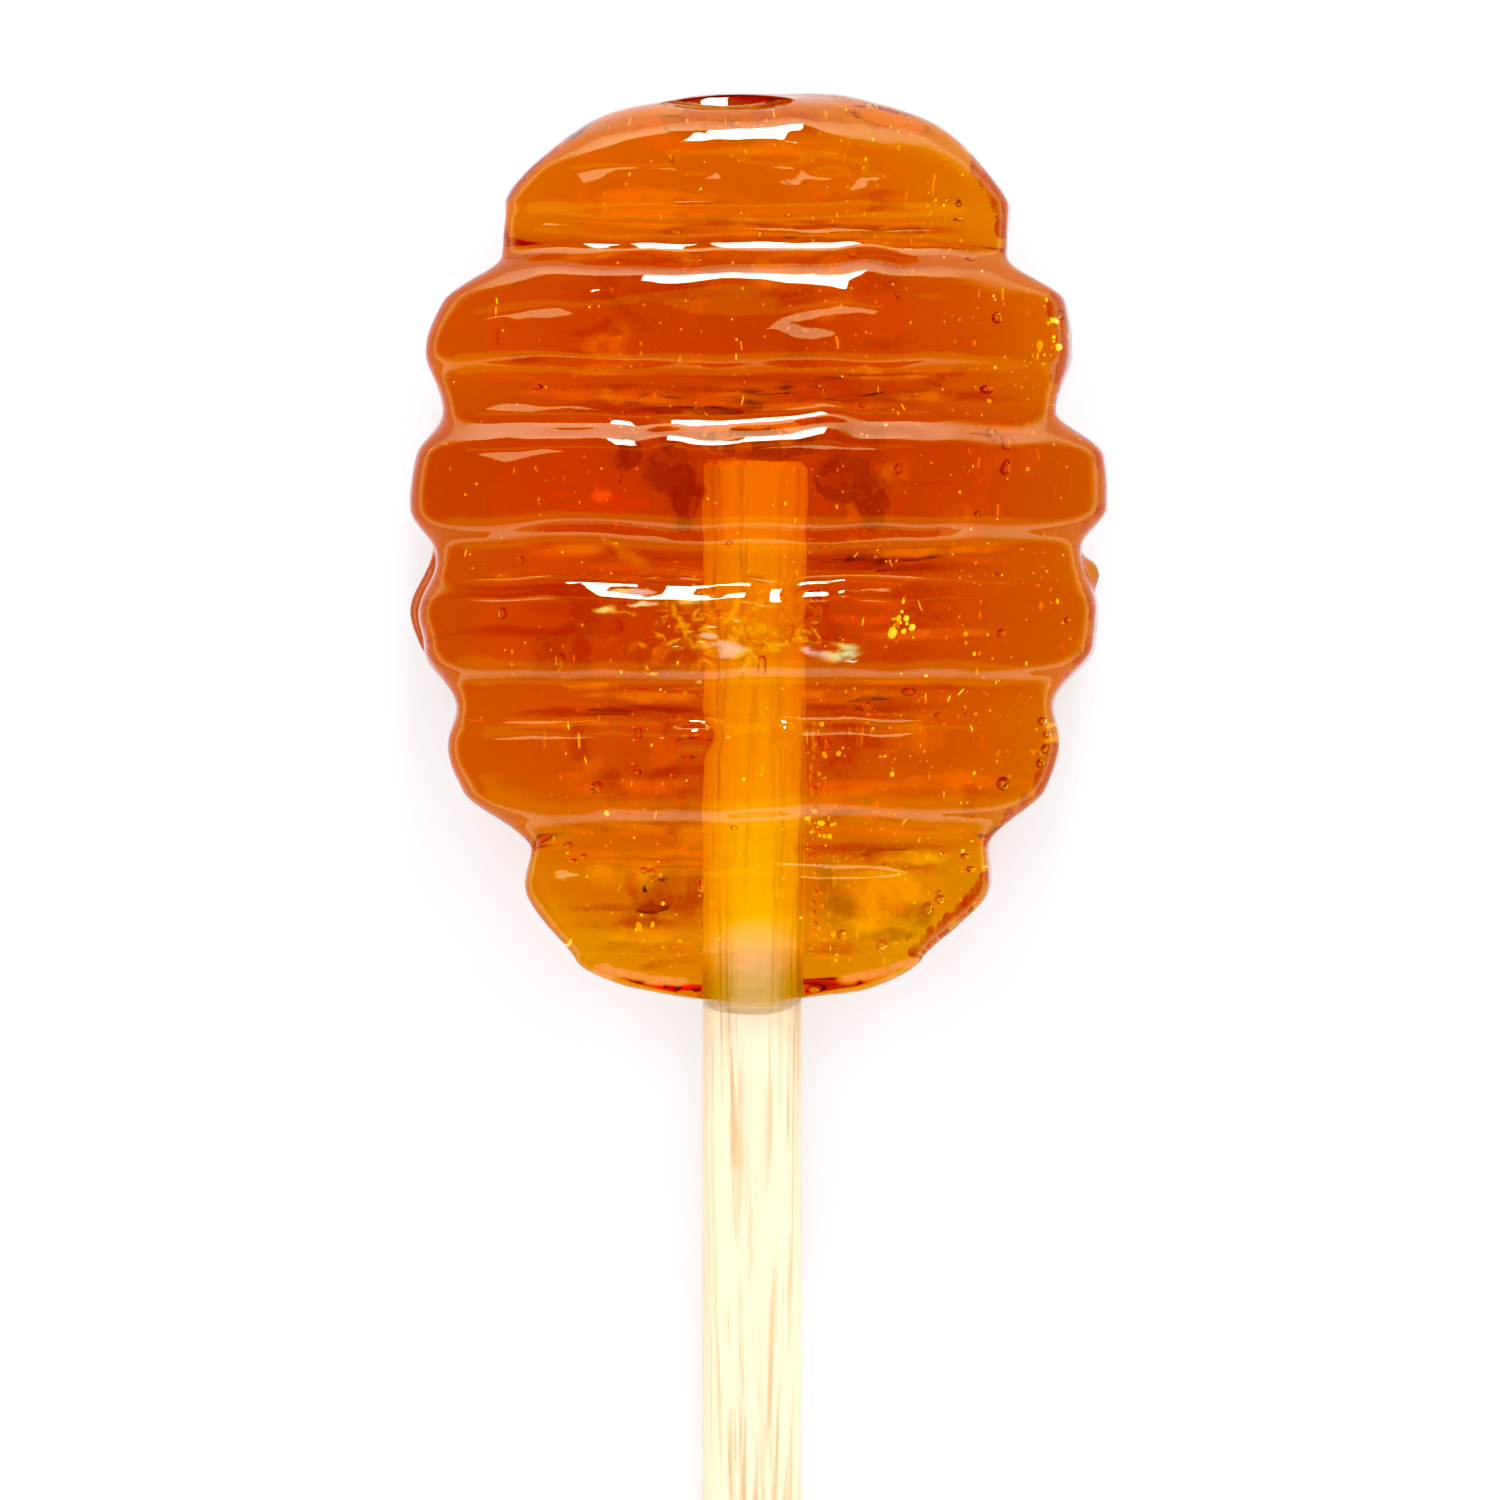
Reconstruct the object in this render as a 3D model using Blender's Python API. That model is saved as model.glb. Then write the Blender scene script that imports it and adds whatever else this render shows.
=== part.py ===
"""Honey lollipop: a slab-like, ribbed head of clear amber candy, cast around a round wooden stick.

It lies on its back with the ribbed front up, on small flat spots under the head and on the stick's far end.
Metres, +Z up, +Y from the stick towards the head's rounded top. The origin is on the floor, in the larger
flat spot, straight below the stick's axis.
"""
import math

import bmesh
import bpy
import numpy as np
from mathutils import Matrix, Vector

MM = 0.001

# ---- driving dimensions ------------------------------------------------------------------------------

STICK_DIAMETER = 4.0 * MM
STICK_LENGTH = 114.3 * MM
STICK_TOP = 14.8 * MM            # how far the stick's upper end stays below the head's top
STICK_CHAMFER = 0.25 * MM
STICK_SIDES = 32

# The head's outline from the front, in mm: distance below the head's top, then the half-widths to the left
# and to the right of the stick's axis. Ribs are bands between an upper and a lower edge, all a little uneven.
RIB_EDGES = (
    (4.4, 9.8, 10.35),           # dome
    (8.3, 12.3, 12.6),           # second rib
    (10.3, 12.95, 12.85),
    (14.5, 13.4, 14.1),          # third rib
    (16.5, 13.65, 14.25),
    (20.7, 13.75, 13.85),        # fourth rib
    (22.0, 13.3, 13.8),
    (25.9, 12.15, 12.4),         # fifth rib
    (27.8, 11.55, 11.8),
    (31.5, 9.1, 9.6),            # sixth rib
    (34.4, 7.2, 6.95),
)
GROOVE_FLOORS = (
    (6.5, 9.95, 10.25),
    (12.7, 12.3, 12.2),
    (18.1, 12.75, 13.2),
    (24.4, 11.8, 12.15),
    (30.1, 8.85, 9.55),
)
# On the front and back each groove is a flat floor between two flanks, in mm: where the rib above ends, where
# the floor starts and ends, where the rib below starts, and how deep the floor lies.
GROOVES = (
    (4.2, 5.3, 6.15, 7.3, 0.9),
    (10.32, 11.3, 12.87, 14.16, 0.9),
    (16.9, 18.0, 19.18, 20.28, 0.95),
    (22.67, 23.42, 24.71, 25.81, 0.58),
    (28.24, 29.14, 30.51, 31.5, 0.55),
)
FLANK_SOFTNESS = (0.4, 1.5)      # how far a flank rolls out beyond its ends, in the middle and at the sides
BACK_SOFTNESS = 1.3              # how much softer the back's flanks are
BACK_SHARE = 0.25                 # how much shallower the back's grooves are
# How far the ribs stand out to the front and back, in mm: distance below the head's top, then from the axis.
RIB_DEPTHS = (
    (4.4, 4.3, 4.6),
    (9.3, 5.8, 5.5),
    (15.5, 6.3, 6.1),
    (21.3, 5.4, 5.95),
    (26.9, 4.5, 5.1),
    (33.0, 2.95, 3.1),
)
DOME_POWERS = (1.22, 2.9)        # a flat-topped dome with round shoulders, seen from the front
DOME_DEPTH_POWERS = (2.4, 2.2)   # the same from the side: a flat face with a round upper edge
FOOT_POWER = 1.6                 # the rounding under the sixth rib, down to the collar
HEAD_LENGTH = 35.75 * MM         # from the head's top to the mouth of the collar round the stick
COLLAR_RADIUS = 2.6 * MM

# Each cross-section is a slab, a superellipse of these powers on the left and right of the axis.
SECTION_POWERS = (16.0, 9.0)
FACE_LEAN = 0.16                 # share of the depth by which the front leans down to the right
FACE_FALL = 0.24                 # share of the depth that a face loses from its middle to its edge
WALL_DRAFT = (0.01, 0.02)        # share of the width that the left and right wall lean in towards the front

DENT_RADIUS = 3.0 * MM           # the round dent left by an air bubble in the top
DENT_PLACE = Vector((-1.3, 1.75, 2.9)) * MM    # centre of the ball that cuts it, from the top of the axis

GAP = 0.3 * MM                   # clearance between candy and stick
FLAT_DEPTH = 0.2 * MM            # how much of the rounded back the flat spots take away
REST_FROM_TOP = 20.9 * MM        # the larger flat spot, on the fourth rib; the other one is on the third

DOME_RINGS = 9
FOOT_RINGS = 7
RIB_RINGS = 4                    # between two grooves
FLANK_RINGS = 5
WALL_STEPS = 4                   # points round a quarter of a section: up its side wall, then along its face
FACE_STEPS = 9

CANDY_COLOUR = (0.62, 0.11, 0.004, 1.0)
STICK_COLOUR = (0.86, 0.72, 0.50, 1.0)


# ---- outline -------------------------------------------------------------------------------------------

def smooth_curve(stations):
    """A curve through (place, value) points that never overshoots them."""
    places = np.array([station[0] for station in stations])
    values = np.array([station[1] for station in stations])
    steps = np.diff(places)
    slopes = np.diff(values) / steps
    tangents = np.zeros(len(places))
    for i in range(1, len(places) - 1):
        before, after = slopes[i - 1], slopes[i]
        if before * after > 0:
            weight_before = 2 * steps[i] + steps[i - 1]
            weight_after = steps[i] + 2 * steps[i - 1]
            tangents[i] = (weight_before + weight_after) / (weight_before / before + weight_after / after)
    tangents[-1] = slopes[-1]

    def value(place):
        i = int(np.clip(np.searchsorted(places, place) - 1, 0, len(steps) - 1))
        t = (place - places[i]) / steps[i]
        return (values[i] * (2 * t**3 - 3 * t**2 + 1)
                + values[i + 1] * (3 * t**2 - 2 * t**3)
                + steps[i] * tangents[i] * (t**3 - 2 * t**2 + t)
                + steps[i] * tangents[i + 1] * (t**3 - t**2))
    return value


def side_stations(stations, column):
    return sorted((row[0] * MM, row[column] * MM) for row in stations)


DOME_END = RIB_EDGES[0][0] * MM
FOOT_START = RIB_EDGES[-1][0] * MM
OUTLINES = [smooth_curve(side_stations(RIB_EDGES + GROOVE_FLOORS, column)) for column in (1, 2)]
CROWN_LINES = [smooth_curve(side_stations(RIB_DEPTHS, column)) for column in (1, 2)]
FRONT, BACK = 0, 1


def dome_share(from_top, powers=DOME_POWERS):
    """Part of the dome's full width, or depth, that is reached at a distance below the top."""
    rise, root = powers
    return (1 - (1 - from_top / DOME_END)**rise)**(1 / root)


def foot_share(from_top):
    """1 where the foot starts to turn in, 0 at the collar's mouth."""
    t = float(np.clip((from_top - FOOT_START) / (HEAD_LENGTH - FOOT_START), 0.0, 1.0))
    return (1 - t**FOOT_POWER)**(1 / FOOT_POWER)


def half_width(curve, from_top):
    """A half-width curve, carried on over the dome and round the foot."""
    if from_top < DOME_END:
        return curve(DOME_END) * dome_share(from_top)
    if from_top > FOOT_START:
        return COLLAR_RADIUS + (curve(FOOT_START) - COLLAR_RADIUS) * foot_share(from_top)
    return curve(from_top)


def eased(share):
    """From 0 to 1 in an even S."""
    return (1 - math.cos(math.pi * float(np.clip(share, 0.0, 1.0)))) / 2


def flank(place, start, end, softness):
    """From 0 to 1 over a flank that is steep in its middle and rolls out softly on both sides."""
    steep = eased((place - start) / (end - start))
    soft_start, soft_end = start - softness, end + softness
    return (steep + eased((place - soft_start) / (soft_end - soft_start))) / 2


def groove_depth(face, from_top, sideways):
    """How far a face lies below the ribs' crowns; sideways is 0 in the middle of the face and 1 at its edge."""
    place = from_top / MM
    softness = FLANK_SOFTNESS[0] + (FLANK_SOFTNESS[1] - FLANK_SOFTNESS[0]) * sideways
    share = 1.0
    if face == BACK:
        softness, share = softness + BACK_SOFTNESS, BACK_SHARE
    depth = 0.0
    for rib_end, floor_start, floor_end, rib_start, floor_depth in GROOVES:
        down = flank(place, rib_end, floor_start, softness)
        depth += floor_depth * (down - flank(place, floor_end, rib_start, softness))
    return depth * share * MM


def half_depth(face, from_top, sideways=0.0):
    """Distance from the stick's axis to the front or back face."""
    if from_top > FOOT_START:
        foot_depth = half_depth(face, FOOT_START, sideways)
        return COLLAR_RADIUS + (foot_depth - COLLAR_RADIUS) * foot_share(from_top)
    first, last = RIB_DEPTHS[0][0] * MM, RIB_DEPTHS[-1][0] * MM
    crown = CROWN_LINES[face](float(np.clip(from_top, first, last)))
    groove = groove_depth(face, from_top, sideways)
    if from_top > DOME_END:
        return crown - groove
    return crown * dome_share(from_top, DOME_DEPTH_POWERS) - groove * dome_share(from_top)


# ---- rest pose -----------------------------------------------------------------------------------------

def rest_placement():
    """Turn and place of the lollipop that puts its back and the stick's far end on the floor."""
    radius = STICK_DIAMETER / 2 * math.cos(math.pi / STICK_SIDES)
    back = half_depth(BACK, REST_FROM_TOP)
    reach = STICK_TOP + STICK_LENGTH - STICK_CHAMFER - REST_FROM_TOP
    tilt = math.atan2(back - radius, reach) - math.asin(FLAT_DEPTH / math.hypot(reach, back - radius))
    axis_height = back * math.cos(tilt) - FLAT_DEPTH
    return (Matrix.Translation((0, 0, axis_height))
            @ Matrix.Rotation(tilt, 4, "X")
            @ Matrix.Translation((0, REST_FROM_TOP, 0)))


# ---- helpers -------------------------------------------------------------------------------------------

def make_material(name, colour, roughness):
    material = bpy.data.materials.new(name)
    material.use_nodes = True
    shader = material.node_tree.nodes["Principled BSDF"]
    shader.inputs["Base Color"].default_value = colour
    shader.inputs["Roughness"].default_value = roughness
    shader.inputs["Metallic"].default_value = 0.0
    return material


def make_object(name, shape, parent, material=None):
    """An object from a bmesh, hung under the given empty."""
    mesh = bpy.data.meshes.new(name)
    shape.to_mesh(mesh)
    shape.free()
    made = bpy.data.objects.new(name, mesh)
    bpy.context.scene.collection.objects.link(made)
    made.parent = parent
    if material:
        mesh.materials.append(material)
    return made


def cut(target, cutter):
    """Take one object's shape out of another, and keep the cutter as a hidden guide."""
    cutter.hide_render = True
    cutter.display_type = "WIRE"
    modifier = target.modifiers.new("cut_" + cutter.name, "BOOLEAN")
    modifier.operation = "DIFFERENCE"
    modifier.solver = "EXACT"
    modifier.object = cutter


def rod(radius, from_top, length, sides):
    """A closed cylinder along the stick's axis, starting at a distance below the head's top."""
    shape = bmesh.new()
    bmesh.ops.create_cone(shape, cap_ends=True, segments=sides, radius1=radius, radius2=radius, depth=length)
    half_side = math.pi / sides
    turn = Matrix.Rotation(math.pi / 2, 4, "X") @ Matrix.Rotation(half_side, 4, "Z")
    place = Matrix.Translation((0, -from_top - length / 2, 0))
    bmesh.ops.transform(shape, matrix=place @ turn, verts=shape.verts)
    return shape


# ---- candy head ----------------------------------------------------------------------------------------

def stretch(start, end, steps):
    """Evenly spaced places from the start up to but not including the end."""
    return [start + (end - start) * i / steps for i in range(steps)]


def ring_places():
    """Distances below the top at which the head's sections are taken, closer where it curves."""
    places = [DOME_END * (i / DOME_RINGS)**2 for i in range(1, DOME_RINGS)]
    rib_start = DOME_END / MM
    bands = []
    for rib_end, floor_start, floor_end, next_rib, _ in GROOVES:
        above, below = rib_end - FLANK_SOFTNESS[0], next_rib + FLANK_SOFTNESS[0]
        if above > rib_start:
            bands += stretch(rib_start, above, RIB_RINGS)
        bands += stretch(max(above, rib_start), floor_start, FLANK_RINGS)
        bands += stretch(floor_start, floor_end, 2)
        bands += stretch(floor_end, below, FLANK_RINGS)
        rib_start = below
    bands += stretch(rib_start, FOOT_START / MM, RIB_RINGS)
    places += [place * MM for place in bands]
    foot = HEAD_LENGTH - FOOT_START
    places += [FOOT_START + foot * math.sin(math.pi / 2 * i / FOOT_RINGS) for i in range(FOOT_RINGS + 1)]
    return places


def ring_directions():
    """Directions to a section's points, once round from the right-hand side over the front."""
    wall = [(1.0, step / WALL_STEPS) for step in range(WALL_STEPS)]
    face = [(1.0 - step / FACE_STEPS, 1.0) for step in range(FACE_STEPS)]
    quarter = wall + face
    mirrored = [(0.0, 1.0)] + [(-run, rise) for run, rise in reversed(quarter[1:])]
    front = quarter + mirrored
    return front + [(-run, -rise) for run, rise in front]


def ring_point(from_top, run, rise):
    """A point on the head's skin, in a direction from the stick's axis."""
    slab = foot_share(from_top)
    on_right = run > 0
    power = 2 + (SECTION_POWERS[on_right] - 2) * slab
    reach = (abs(run)**power + abs(rise)**power)**(-1 / power)
    across, up = run * reach, rise * reach
    front_share = max(up, 0.0)
    draft = WALL_DRAFT[on_right] * slab
    fall = (FACE_FALL * across**2 + FACE_LEAN * across * front_share) * slab
    side = half_width(OUTLINES[on_right], from_top)
    t = float(np.clip((abs(across) - 0.3) / 0.7, 0.0, 1.0))
    depth = half_depth(FRONT if up > 0 else BACK, from_top, t * t * (3 - 2 * t))
    return side * across * (1 - draft * front_share), -from_top, depth * up * (1 - fall)


def head_shape():
    """The whole head as one closed skin of sections, from the top to the collar."""
    shape = bmesh.new()
    top = shape.verts.new((0, 0, 0))
    directions = ring_directions()
    rings = []
    for from_top in ring_places():
        rings.append([shape.verts.new(ring_point(from_top, run, rise)) for run, rise in directions])
    for k in range(len(directions)):
        after = (k + 1) % len(directions)
        shape.faces.new((top, rings[0][after], rings[0][k]))
        for upper, lower in zip(rings, rings[1:]):
            shape.faces.new((upper[k], upper[after], lower[after], lower[k]))
    shape.faces.new(rings[-1])
    bmesh.ops.recalc_face_normals(shape, faces=shape.faces)
    return shape


def add_candy(lollipop):
    candy = make_object("candy", head_shape(), lollipop, make_material("amber_candy", CANDY_COLOUR, 0.05))

    bore_top = STICK_TOP - GAP
    bore = rod(STICK_DIAMETER / 2 + GAP, bore_top, HEAD_LENGTH + GAP - bore_top, STICK_SIDES)
    cut(candy, make_object("stick_bore", bore, lollipop))

    ball = bmesh.new()
    bmesh.ops.create_uvsphere(ball, u_segments=28, v_segments=16, radius=DENT_RADIUS)
    bmesh.ops.translate(ball, vec=DENT_PLACE, verts=ball.verts)
    cut(candy, make_object("dent_ball", ball, lollipop))

    slab_size = 2 * HEAD_LENGTH
    slab = bmesh.new()
    bmesh.ops.create_cube(slab, size=slab_size)
    bmesh.ops.translate(slab, vec=(0, 0, -slab_size / 2), verts=slab.verts)
    cut(candy, make_object("floor_slab", slab, None))

    candy.data.shade_smooth()
    candy.data.set_sharp_from_angle(angle=math.radians(50))
    return candy


# ---- stick ---------------------------------------------------------------------------------------------

def add_stick(lollipop):
    shape = rod(STICK_DIAMETER / 2, STICK_TOP, STICK_LENGTH, STICK_SIDES)
    rims = [edge for edge in shape.edges if abs(edge.verts[0].co.y - edge.verts[1].co.y) < GAP]
    bmesh.ops.bevel(shape, geom=rims, offset=STICK_CHAMFER, segments=1, affect="EDGES")
    stick = make_object("stick", shape, lollipop, make_material("pale_wood", STICK_COLOUR, 0.55))
    stick.data.shade_smooth()
    stick.data.set_sharp_from_angle(angle=math.radians(35))
    return stick


def main():
    for old in list(bpy.data.objects):
        bpy.data.objects.remove(old, do_unlink=True)
    lollipop = bpy.data.objects.new("lollipop", None)
    bpy.context.scene.collection.objects.link(lollipop)
    lollipop.matrix_world = rest_placement()
    add_candy(lollipop)
    add_stick(lollipop)
    bpy.context.view_layer.update()


main()
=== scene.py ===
"""Looks of the honey lollipop: clear amber boiled sugar, cast like a honey dipper round a wooden stick."""
import math

import bpy
import numpy as np
from mathutils import Matrix, Vector


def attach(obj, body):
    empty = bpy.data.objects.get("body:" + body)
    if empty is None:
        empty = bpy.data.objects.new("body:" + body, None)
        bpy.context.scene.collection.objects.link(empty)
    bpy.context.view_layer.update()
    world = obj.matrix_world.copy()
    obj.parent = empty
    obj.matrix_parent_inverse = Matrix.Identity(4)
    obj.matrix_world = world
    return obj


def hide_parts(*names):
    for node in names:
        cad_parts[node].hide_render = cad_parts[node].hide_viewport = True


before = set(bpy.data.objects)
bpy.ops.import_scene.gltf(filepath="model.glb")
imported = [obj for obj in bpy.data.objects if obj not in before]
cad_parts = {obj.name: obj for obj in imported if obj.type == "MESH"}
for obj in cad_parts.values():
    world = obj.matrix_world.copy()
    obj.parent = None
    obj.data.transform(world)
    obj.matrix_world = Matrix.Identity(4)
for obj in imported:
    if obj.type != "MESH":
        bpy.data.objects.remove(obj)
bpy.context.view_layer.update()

MM = 0.001
BODY = "root"

# ---- the head's form, in mm as on a maker's drawing ----

# Distance below the head's top, then the half-widths to the left and right of the stick's axis.
RIB_EDGES = (
    (4.4, 9.8, 10.35),           # dome
    (8.3, 12.3, 12.6),           # second rib
    (10.3, 12.95, 12.85),
    (14.5, 13.4, 14.1),          # third rib
    (16.5, 13.65, 14.25),
    (20.7, 13.75, 13.85),        # fourth rib
    (22.0, 13.3, 13.8),
    (25.9, 12.15, 12.4),         # fifth rib
    (27.8, 11.55, 11.8),
    (31.5, 9.1, 9.6),            # sixth rib
    (34.4, 7.2, 6.95),
)
GROOVE_FLOORS = (
    (6.5, 9.95, 10.25),
    (12.7, 12.3, 12.2),
    (18.1, 12.75, 13.2),
    (24.4, 11.8, 12.15),
    (30.1, 8.85, 9.55),
)
# On the front and back each groove is a flat floor between two short flanks: where the rib above ends, where
# the floor starts and ends, where the rib below starts, and how deep the floor lies.
GROOVES = (
    (4.2, 5.3, 6.15, 7.3, 0.9),
    (10.32, 11.3, 12.87, 14.16, 0.9),
    (16.9, 18.0, 19.18, 20.28, 0.95),
    (22.67, 23.42, 24.71, 25.81, 0.58),
    (28.24, 29.14, 30.51, 31.5, 0.55),
)
FLANK_SOFTNESS = (0.4, 1.5)  # how far a flank rolls out beyond its ends, in the middle and at the sides
BACK_SOFTNESS = 1.3  # how much further it rolls out on the back
BACK_SHARE = 0.25  # share of the front's groove depth that the back has
DOME_POWERS = (1.22, 2.9)  # a flat-topped dome with round shoulders, seen from the front
DOME_DEPTH_POWERS = (2.4, 2.2)  # the same from the side: a flat face with a round upper edge
FOOT_POWER = 1.6  # the foot's lower edge, a little straighter than an arc
FOOT_END = 35.75
# Distance below the head's top, then how far the ribs stand out to the front and back of the stick's axis.
RIB_DEPTHS = (
    (4.4, 4.3, 4.6),
    (9.3, 5.8, 5.5),
    (15.5, 6.3, 6.1),
    (21.3, 5.4, 5.95),
    (26.9, 4.5, 5.1),
    (33.0, 2.95, 3.1),
    (34.4, 2.5, 3.1),
)
SECTION_POWERS = (16.0, 9.0)  # left and right: a cross-section is a slab, with a rounder rim on the right
ROUND_POWER = 2.0  # of a round cross-section
DOME_ROUNDING = 0.15  # at the top the slab's rim is rounder: it keeps this share of its power
DOME_ROUND_LENGTH = 6.5  # how far below the top it has its full power
FACE_LEAN = 0.16  # share of the depth by which the front leans down to the right
FACE_FALL = 0.24  # share of the depth that a face loses from its middle to its edge
WALL_DRAFT = (0.01, 0.02)  # share of the width by which the left and right wall lean in to the front
FLASH_STEP = 0.45  # how far the left wall's front steps in behind its flash, at most
FLASH_SPAN = (17.0, 24.0)  # where below the top it may do so, with some margin
STICK_TOP = 14.8  # how far the stick's upper end stays below the head's top
STICK_RADIUS = 2.0
LIP_RADIUS = 0.45  # the meniscus where the candy meets the stick
LIP_WALL = 0.04  # what is left of it where it runs out on the wood
LIP_SAG = 0.6  # how much further down it comes on the front
LIP_ARC_RINGS = 10
LIP_CAP_SHARES = (0.96, 0.7, 0.35, 0.0)  # the rings inside the wood that close the skin

DOME_RINGS = 50
FOOT_RINGS = 26
MIDDLE_RINGS = 150
RING_POINTS = 390
FACE_DENSITY = 2.2  # how much closer the points lie on the faces than on the side walls


# ---- nodes as Python expressions ----

class Graph:
    """A shader or geometry tree under construction."""

    def __init__(self, tree):
        self.tree = tree

    def node(self, kind, settings=None, inputs=None, output=0):
        made = self.tree.nodes.new(kind)
        for name, value in (settings or {}).items():
            setattr(made, name, value)
        for key, value in (inputs or {}).items():
            self.feed(made.inputs[key], value)
        return Value(self, made, output)

    def feed(self, socket, value):
        if isinstance(value, Value):
            self.tree.links.new(value.socket, socket)
        else:
            socket.default_value = value

    def smooth(self, value, start, end, low=0.0, high=1.0):
        """Runs softly from low to high while the value goes from start to end."""
        return self.node("ShaderNodeMapRange", {"interpolation_type": "SMOOTHSTEP"}, {
            "Value": value, "From Min": start, "From Max": end, "To Min": low, "To Max": high})

    def mixed_colour(self, share, low, high):
        """The low colour where the share is 0, the high one where it is 1."""
        return self.node("ShaderNodeMix", {"data_type": "RGBA"}, {0: share, 6: low, 7: high}, 2)

    def noise(self, vector, scale, detail=2.0, roughness=0.5):
        """Noise between 0 and 1."""
        return self.node("ShaderNodeTexNoise", {"noise_dimensions": "3D"}, {
            "Vector": vector, "Scale": scale, "Detail": detail, "Roughness": roughness})

    def xyz(self, x, y, z):
        return self.node("ShaderNodeCombineXYZ", inputs={0: x, 1: y, 2: z})

    def here(self):
        return self.node("GeometryNodeInputPosition")

    def named(self, label, kind="FLOAT"):
        """A value that the points carry."""
        return self.node("GeometryNodeInputNamedAttribute", {"data_type": kind}, {"Name": label})

    def moved(self, geometry, how, value):
        """The geometry with its points moved by an Offset or to a Position."""
        return self.node("GeometryNodeSetPosition", inputs={"Geometry": geometry, how: value})

    def object_place(self):
        return self.node("ShaderNodeTexCoord").output("Object")

    def close(self, kind, sockets):
        """Ends the tree in its output node."""
        leave = self.tree.nodes.new(kind)
        for key, value in sockets.items():
            self.feed(leave.inputs[key], value)


def operator(operation, reflected=False):
    """A method that adds the Math node of an operator with two sides."""
    def method(self, other):
        return self.math(operation, other, self) if reflected else self.math(operation, self, other)
    return method


class Value:
    """A node's output that takes part in expressions; each operation adds its Math node."""

    def __init__(self, graph, made, output=0):
        self.graph, self.made = graph, made
        self.socket = made.outputs[output]

    def output(self, key):
        return Value(self.graph, self.made, key)

    def math(self, operation, first, second=None):
        inputs = {0: first} if second is None else {0: first, 1: second}
        return self.graph.node("ShaderNodeMath", {"operation": operation}, inputs)

    __add__, __radd__ = operator("ADD"), operator("ADD", reflected=True)
    __sub__, __rsub__ = operator("SUBTRACT"), operator("SUBTRACT", reflected=True)
    __mul__, __rmul__ = operator("MULTIPLY"), operator("MULTIPLY", reflected=True)
    __truediv__, __rtruediv__ = operator("DIVIDE"), operator("DIVIDE", reflected=True)
    __pow__ = operator("POWER")
    __gt__ = operator("GREATER_THAN")

    def __abs__(self):
        return self.math("ABSOLUTE", self)

    def mixed(self, low, high):
        """low where this is 0, high where it is 1."""
        return low + self * (high - low)

    def vector_math(self, operation, *others, output=0):
        inputs = dict(enumerate((self,) + others))
        return self.graph.node("ShaderNodeVectorMath", {"operation": operation}, inputs, output)

    def length(self):
        return self.vector_math("LENGTH", output=1)

    def scaled(self, factor):
        made = self.vector_math("SCALE")
        self.graph.feed(made.made.inputs["Scale"], factor)
        return made

    def axes(self):
        parts = self.graph.node("ShaderNodeSeparateXYZ", inputs={0: self})
        return [parts.output(axis) for axis in range(3)]


# ---- outline ----

def smooth_curve(stations):
    """A curve through (place, value) points that never overshoots them."""
    places, values = (np.array(column, float) for column in zip(*stations))
    steps = np.diff(places)
    slopes = np.diff(values) / steps
    tangents = np.zeros(len(places))
    for i in range(1, len(places) - 1):
        before, after = slopes[i - 1], slopes[i]
        if before * after > 0:
            weight_before = 2 * steps[i] + steps[i - 1]
            weight_after = steps[i] + 2 * steps[i - 1]
            tangents[i] = (weight_before + weight_after) / (weight_before / before + weight_after / after)
    tangents[-1] = slopes[-1]

    def value(place):
        i = np.clip(np.searchsorted(places, place) - 1, 0, len(steps) - 1)
        t = (place - places[i]) / steps[i]
        return (values[i] * (2 * t**3 - 3 * t**2 + 1)
                + values[i + 1] * (3 * t**2 - 2 * t**3)
                + steps[i] * tangents[i] * (t**3 - 2 * t**2 + t)
                + steps[i] * tangents[i + 1] * (t**3 - t**2))
    return value


def side_curve(stations, column):
    return smooth_curve(sorted((row[0], row[column]) for row in stations))


DOME_END, FOOT_START = RIB_EDGES[0][0], RIB_EDGES[-1][0]
LIP_START_RADIUS = STICK_RADIUS + LIP_WALL + LIP_RADIUS
# The columns of the head's profile.
DOWN, LEFT, RIGHT, FRONT, BACK, SIDE_FRONT, SIDE_BACK, LEFT_POWER, RIGHT_POWER, SLAB = range(10)


def ring_places():
    """Distances below the top, evenly spread along the skin over the dome and round the foot."""
    rise, root = DOME_POWERS
    reach = np.sin(np.linspace(0, math.pi / 2, DOME_RINGS, endpoint=False))
    dome = DOME_END * (1 - (1 - reach**root)**(1 / rise))
    middle = np.linspace(DOME_END, FOOT_START, MIDDLE_RINGS, endpoint=False)
    foot = FOOT_START + (FOOT_END - FOOT_START) * np.sin(np.linspace(0, math.pi / 2, FOOT_RINGS))
    return np.concatenate([dome, middle, foot])


def eased(share):
    """From 0 to 1 in an even S."""
    share = np.clip(share, 0, 1)
    return (1 - np.cos(math.pi * share)) / 2


def flank(place, start, end, softness):
    """From 0 to 1 over a flank that is steep in its middle and rolls out softly on both sides."""
    steep = eased((place - start) / (end - start))
    soft_start, soft_end = start - softness, end + softness
    return (steep + eased((place - soft_start) / (soft_end - soft_start))) / 2


def groove_depth(place, softness):
    """How far the front lies below the ribs' crowns."""
    depth = np.zeros(len(place))
    for rib_end, floor_start, floor_end, rib_start, floor_depth in GROOVES:
        down = flank(place, rib_end, floor_start, softness)
        depth += floor_depth * (down - flank(place, floor_end, rib_start, softness))
    return depth


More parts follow.
